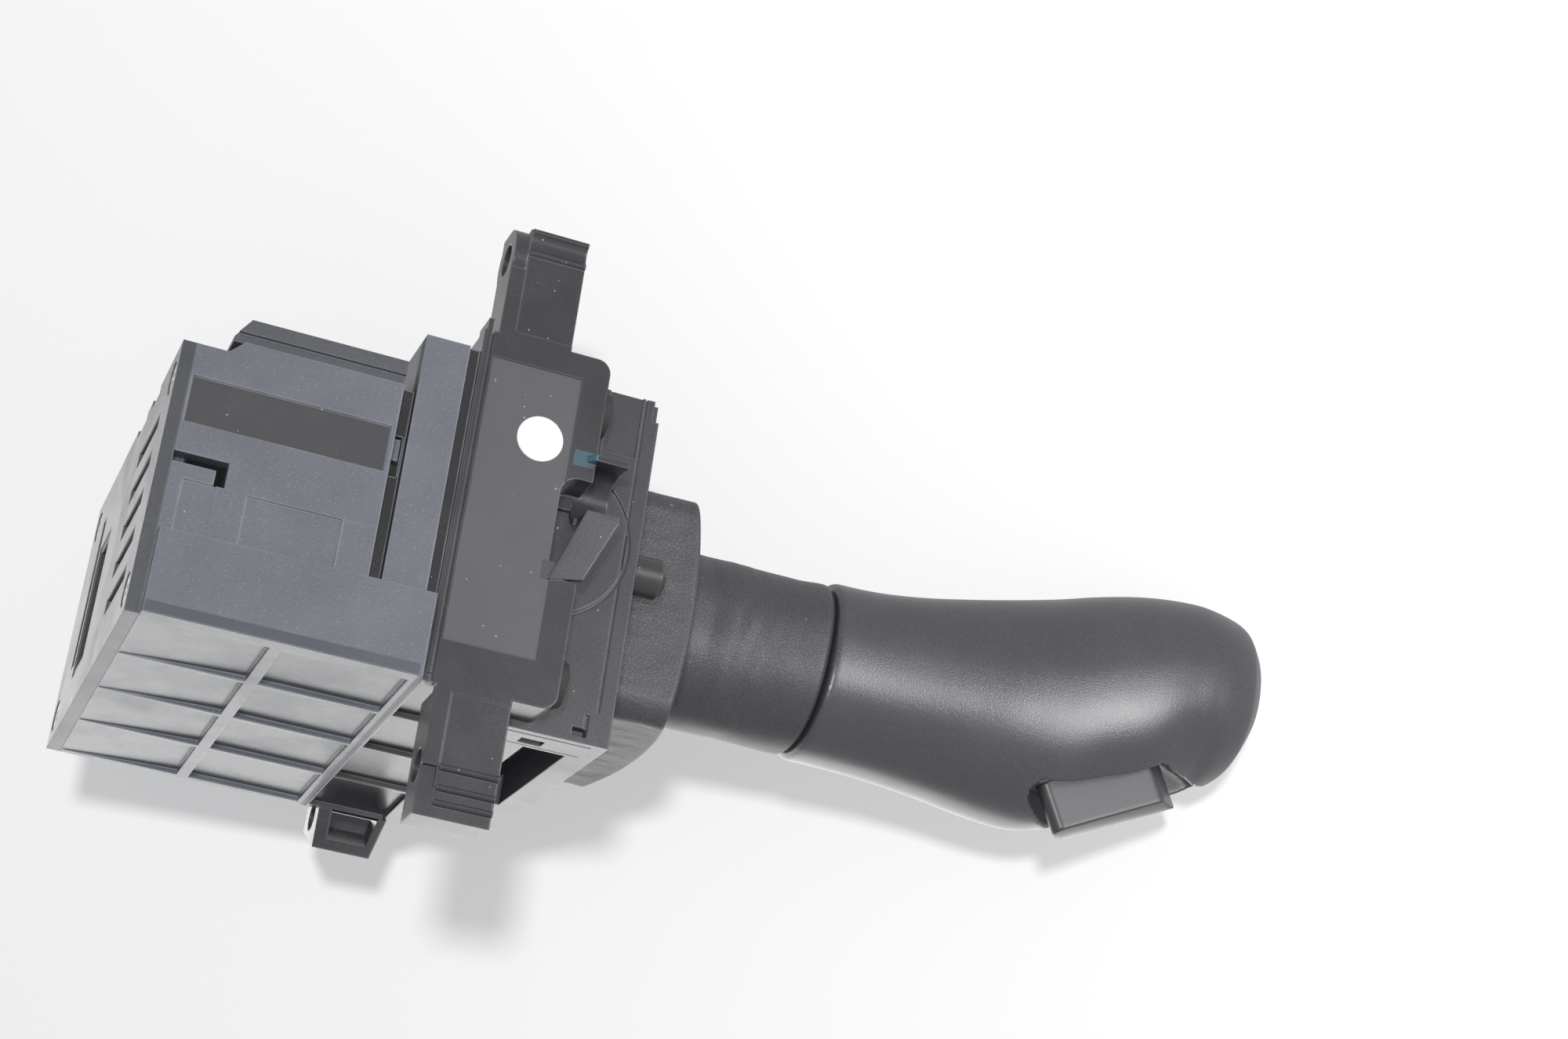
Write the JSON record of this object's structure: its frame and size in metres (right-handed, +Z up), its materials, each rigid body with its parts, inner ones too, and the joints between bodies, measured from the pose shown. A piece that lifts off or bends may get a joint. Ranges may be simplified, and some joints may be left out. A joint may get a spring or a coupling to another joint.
{
  "type": "gear shift mechanism",
  "caption": "Electronic gear shift mechanism: knob with unlock and park buttons on a sprung lever that rocks fore and aft and sideways in a moulded housing with mounting ears.",
  "frame": {"origin": "centre of the front-to-back depth and of the upper frame's width, on the underside of the base cover", "axes": "+Z up the lever, -Y to the front of the vehicle, +X to the ribbed side with the unlock button"},
  "size_m": [0.1103, 0.1064, 0.2281],
  "materials": {
    "grained_plastic": "fine spark-eroded grain",
    "frame_plastic": "semi-gloss",
    "collar_plastic": "leather grain",
    "knob_plastic": "satin, soft touch",
    "black_plastic": "plain",
    "natural_plastic": "natural acetal",
    "lens_plastic": "smoked, polished",
    "white_label": "plain label",
    "buffer_rubber": "moulded",
    "board_laminate": "solder mask",
    "contact_metal": "plated",
    "screw_steel": "zinc plated",
    "ground_steel": "ground",
    "magnet_alloy": "nickel plated",
    "cast_alloy": "die cast"
  },
  "bodies": {
    "housing": {"lower_housing": "grained_plastic", "side_cover": "grained_plastic", "base_cover": "grained_plastic", "connector_socket": "black_plastic", "connector_pins": "contact_metal", "circuit_board": "board_laminate", "hall_sensors": "black_plastic", "board_screws": "screw_steel", "housing_screws": "screw_steel", "detent_block": "natural_plastic", "upper_frame": "frame_plastic", "frame_screws": "screw_steel", "rubber_buffers": "buffer_rubber", "inspection_dot": "white_label", "bezel_frame": "frame_plastic", "locating_stub": "frame_plastic", "boot_collar": "collar_plastic", "pivot_bushes": "natural_plastic"},
    "gimbal": {"gimbal_ring": "cast_alloy", "cross_pin": "ground_steel"},
    "lever": {"lever_carrier": "black_plastic", "magnet_holder": "natural_plastic", "magnet": "magnet_alloy", "lever_shaft": "ground_steel", "dust_slide": "black_plastic", "neck_sleeve": "knob_plastic", "knob_shell": "knob_plastic", "knob_clip": "ground_steel", "pocket_liner": "black_plastic", "knob_board": "board_laminate", "unlock_switch": "buffer_rubber", "display_lens": "lens_plastic", "detent_spring": "ground_steel", "park_spring": "ground_steel"},
    "plunger": {"detent_plunger": "ground_steel"},
    "unlock": {"unlock_button": "knob_plastic"},
    "park": {"park_button": "knob_plastic"}
  },
  "joints": [
    {"name": "lateral_tilt", "type": "hinge", "parent": "housing", "child": "gimbal", "pos_m": [-0.002, 0, 0.07], "axis": [0, 1, 0], "range_deg": [0, 8], "stiffness_Nm_per_rad": 2},
    {"name": "shift_tilt", "type": "hinge", "parent": "gimbal", "child": "lever", "pos_m": [-0.002, 0, 0.07], "axis": [1, 0, 0], "range_deg": [-12, 12], "stiffness_Nm_per_rad": 2},
    {"name": "plunger_slide", "type": "slide", "parent": "lever", "child": "plunger", "axis": [0, 0, 1], "range_m": [0, 0.002], "stiffness_N_per_m": 900, "springref_m": -0.001, "deforming": ["detent_spring"]},
    {"name": "unlock_press", "type": "slide", "parent": "lever", "child": "unlock", "axis": [-0.8949, 0, -0.4462], "range_m": [0, 0.002], "stiffness_N_per_m": 900, "springref_m": -0.0005},
    {"name": "park_press", "type": "slide", "parent": "lever", "child": "park", "axis": [0, 0, -1], "range_m": [0, 0.0015], "stiffness_N_per_m": 900, "springref_m": -0.0005, "deforming": ["park_spring"]}
  ]
}
